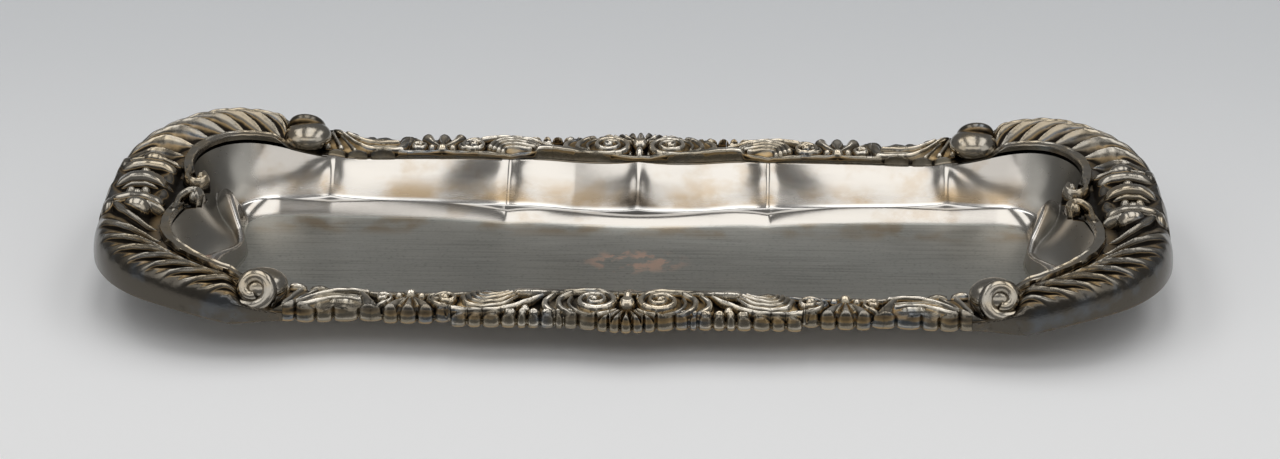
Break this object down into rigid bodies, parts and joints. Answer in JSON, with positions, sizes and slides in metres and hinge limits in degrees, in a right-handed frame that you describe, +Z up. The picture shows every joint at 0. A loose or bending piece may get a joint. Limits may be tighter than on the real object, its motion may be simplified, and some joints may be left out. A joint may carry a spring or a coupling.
{
  "type": "pen tray",
  "caption": "Shallow oblong silver-plated pen tray with a lobed well, upswept ends and a die-struck border of shells, leaves, fans and gadrooned corner scrolls.",
  "frame": {"origin": "on the table under the middle of the tray", "axes": "+X along the tray, +Y across it, +Z up out of the well"},
  "size_m": [0.258, 0.1102, 0.0232],
  "materials": {
    "plate": "worn silver plate over copper, satin floor, brighter walls",
    "side_mounts": "die-struck silver with dark tarnish in the recesses",
    "corner_mounts": "die-struck silver, grey tarnish on the outer face"
  },
  "bodies": {
    "root": {"pan": "plate", "centre_shell_front": "side_mounts", "centre_shell_back": "side_mounts", "scroll_leaf_front_right": "side_mounts", "scroll_leaf_back_right": "side_mounts", "scroll_leaf_front_left": "side_mounts", "scroll_leaf_back_left": "side_mounts", "fan_front_right": "side_mounts", "fan_back_right": "side_mounts", "fan_front_left": "side_mounts", "fan_back_left": "side_mounts", "acanthus_front_right": "side_mounts", "acanthus_back_right": "side_mounts", "acanthus_front_left": "side_mounts", "acanthus_back_left": "side_mounts", "corner_mount_front_right": "corner_mounts", "corner_mount_back_right": "corner_mounts", "corner_mount_front_left": "corner_mounts", "corner_mount_back_left": "corner_mounts", "corner_scroll_front_right": "corner_mounts", "corner_scroll_back_right": "corner_mounts", "corner_scroll_front_left": "corner_mounts", "corner_scroll_back_left": "corner_mounts", "end_boss_right": "corner_mounts", "end_boss_left": "corner_mounts"}
  },
  "joints": []
}
